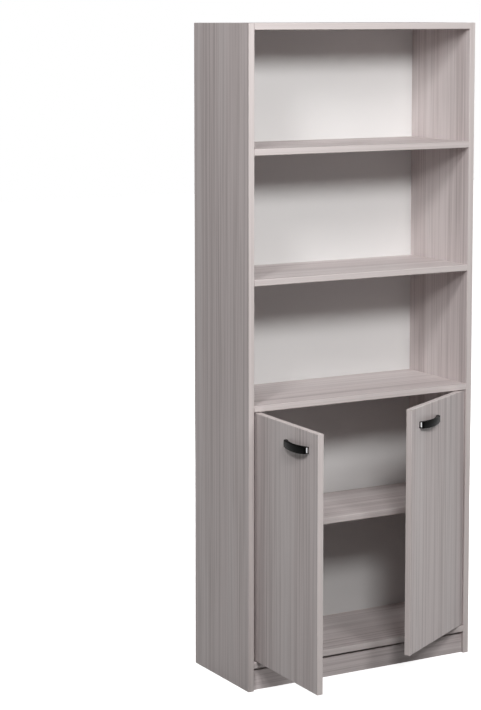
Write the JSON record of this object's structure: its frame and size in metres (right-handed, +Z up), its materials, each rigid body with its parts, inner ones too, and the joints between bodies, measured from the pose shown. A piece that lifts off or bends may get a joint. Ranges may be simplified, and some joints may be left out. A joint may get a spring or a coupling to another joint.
{
  "type": "bookcase",
  "caption": "Tall narrow bookcase with open shelves above a cabinet closed by two inset hinged doors with half-moon bow handles.",
  "frame": {"origin": "on the floor at the middle of the plinth board's underside", "axes": "+Z up, the open front and the doors face -Y, +X to the right as seen from the front"},
  "size_m": [0.74, 0.6296, 1.82],
  "materials": {
    "ash_melamine": "satin melamine with ash grain",
    "white_hardboard": "painted matt",
    "beech_dowel": "raw",
    "black_handle": "glossy",
    "zinc_cam": "die cast",
    "hinge_steel": "nickel plated",
    "zinc_steel": "zinc plated"
  },
  "bodies": {
    "carcass": {"left_side_panel": "ash_melamine", "right_side_panel": "ash_melamine", "top_panel": "ash_melamine", "upper_open_shelf": "ash_melamine", "lower_open_shelf": "ash_melamine", "cabinet_top_shelf": "ash_melamine", "cabinet_shelf": "ash_melamine", "bottom_panel": "ash_melamine", "plinth_board": "ash_melamine", "back_panel": "white_hardboard", "shelf_pins": "zinc_steel", "cam_locks": "zinc_cam", "cam_bolts": "zinc_steel", "wooden_dowels": "beech_dowel", "back_panel_nails": "zinc_steel", "hinge_plate_screws": "hinge_steel", "hinge_arm_screws": "hinge_steel", "left_hinge_plates": "hinge_steel", "left_hinge_arms": "hinge_steel", "right_hinge_plates": "hinge_steel", "right_hinge_arms": "hinge_steel"},
    "left_door_leaf": {"left_door": "ash_melamine", "left_handle": "black_handle", "left_handle_screws": "zinc_steel", "left_hinge_cups": "hinge_steel", "left_cup_screws": "hinge_steel", "left_hinge_pins": "hinge_steel"},
    "right_door_leaf": {"right_door": "ash_melamine", "right_handle": "black_handle", "right_handle_screws": "zinc_steel", "right_hinge_cups": "hinge_steel", "right_cup_screws": "hinge_steel", "right_hinge_pins": "hinge_steel"}
  },
  "joints": [
    {"name": "left_door_hinge", "type": "hinge", "parent": "carcass", "child": "left_door_leaf", "pos_m": [-0.3355, -0.0105, 0.4275], "axis": [0, 0, -1], "range_deg": [-91, 4]},
    {"name": "right_door_hinge", "type": "hinge", "parent": "carcass", "child": "right_door_leaf", "pos_m": [0.3355, -0.0105, 0.4275], "axis": [0, 0, 1], "range_deg": [-30, 65]}
  ]
}
